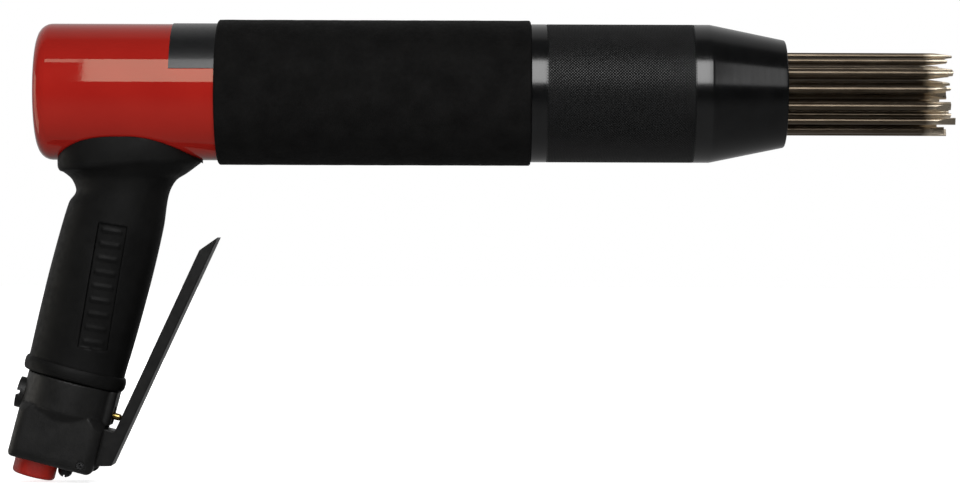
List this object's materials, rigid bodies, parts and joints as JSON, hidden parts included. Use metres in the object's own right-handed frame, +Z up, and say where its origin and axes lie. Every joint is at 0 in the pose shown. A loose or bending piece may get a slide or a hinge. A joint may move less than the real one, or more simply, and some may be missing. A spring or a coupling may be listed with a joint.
{
  "type": "needle scaler",
  "caption": "Pistol-grip air needle scaler: red rear housing, black foam-sleeved barrel, knurled tapered nose and a bundle of steel needles, with a hand lever on a raked grip.",
  "frame": {"origin": "on the barrel axis, at the shoulder where the front tube leaves the grip sleeve", "axes": "+X along the barrel to the needle tips, +Z up away from the handle, +Y to the left"},
  "size_m": [0.4034, 0.0624, 0.1982],
  "materials": {
    "red_paint": "glossy red paint",
    "sleeve_foam": "matte black foam rubber",
    "nose_black": "satin black coated steel, knurled",
    "tube_alloy": "machined alloy",
    "seal_rubber": "black rubber",
    "spring_steel": "drawn spring wire",
    "machined_steel": "turned steel",
    "needle_steel": "drawn steel wire with ground tips",
    "bronze": "turned bronze",
    "brass": "turned brass",
    "grip_rubber": "moulded black rubber",
    "cast_black": "black coated casting",
    "lever_black": "black coated lever",
    "red_plastic": "moulded red plastic"
  },
  "bodies": {
    "casing": {"rear_housing": "red_paint", "tube_seal": "seal_rubber", "body_tube": "tube_alloy", "grip_sleeve": "sleeve_foam", "front_tube": "nose_black", "nose_seal": "seal_rubber", "front_buffer": "seal_rubber", "rear_buffer": "seal_rubber", "isolation_spring": "spring_steel", "needle_spring": "spring_steel", "spring_seat": "machined_steel", "handle_core": "machined_steel", "core_seal": "seal_rubber", "handle_grip": "grip_rubber", "valve_body": "cast_black", "lever_pin": "machined_steel", "valve_spring": "spring_steel", "valve_cap": "cast_black", "cap_seal": "seal_rubber", "stem_bush": "brass", "stem_seal": "seal_rubber", "inlet_bush": "machined_steel", "inlet_strainer": "machined_steel", "base_screw": "cast_black"},
    "hammer": {"hammer_cylinder": "machined_steel", "cylinder_seal": "seal_rubber", "cylinder_cap": "machined_steel", "front_bush": "bronze"},
    "piston": {"piston": "machined_steel"},
    "anvil": {"anvil": "machined_steel"},
    "needle_pack": {"needle_holder": "machined_steel"},
    "outer_needles": {"needles_outer": "needle_steel"},
    "middle_needles": {"needles_middle": "needle_steel"},
    "inner_needles": {"needles_inner": "needle_steel"},
    "lever": {"throttle_lever": "lever_black"},
    "valve": {"valve_stem": "brass", "valve_head": "seal_rubber"},
    "inlet_cover": {"inlet_cap": "red_plastic"}
  },
  "joints": [
    {"name": "hammer_slide", "type": "slide", "parent": "casing", "child": "hammer", "axis": [1, 0, 0], "range_m": [-0.008, 0], "stiffness_N_per_m": 6000, "springref_m": 0.004, "deforming": ["isolation_spring"]},
    {"name": "piston_slide", "type": "slide", "parent": "hammer", "child": "piston", "axis": [1, 0, 0], "range_m": [-0.005, 0.03]},
    {"name": "anvil_slide", "type": "slide", "parent": "casing", "child": "anvil", "axis": [1, 0, 0], "range_m": [0, 0.008], "stiffness_N_per_m": 2500, "springref_m": -0.006},
    {"name": "pack_slide", "type": "slide", "parent": "casing", "child": "needle_pack", "axis": [1, 0, 0], "range_m": [0, 0.008], "stiffness_N_per_m": 2500, "springref_m": -0.006, "deforming": ["needle_spring"]},
    {"name": "outer_retract", "type": "slide", "parent": "needle_pack", "child": "outer_needles", "axis": [1, 0, 0], "range_m": [-0.006, 0]},
    {"name": "middle_retract", "type": "slide", "parent": "needle_pack", "child": "middle_needles", "axis": [1, 0, 0], "range_m": [-0.006, 0]},
    {"name": "inner_retract", "type": "slide", "parent": "needle_pack", "child": "inner_needles", "axis": [1, 0, 0], "range_m": [-0.006, 0]},
    {"name": "lever_hinge", "type": "hinge", "parent": "casing", "child": "lever", "pos_m": [-0.19117, 0, -0.15974], "axis": [0, -1, 0], "range_deg": [0, 6], "stiffness_Nm_per_rad": 2, "springref_deg": -8.59},
    {"name": "valve_slide", "type": "slide", "parent": "casing", "child": "valve", "axis": [-0.9686, 0, 0.2487], "range_m": [0, 0.0026], "stiffness_N_per_m": 100, "springref_m": -0.001, "deforming": ["valve_spring"]},
    {"name": "cap_slide", "type": "slide", "parent": "casing", "child": "inlet_cover", "axis": [-0.2487, 0, -0.9686], "range_m": [0, 0.045]}
  ],
  "couplings": [
    {"joint": "pack_slide", "follows": "anvil_slide", "ratio": 1},
    {"joint": "valve_slide", "follows": "lever_hinge", "m_per_rad": 0.02406}
  ]
}
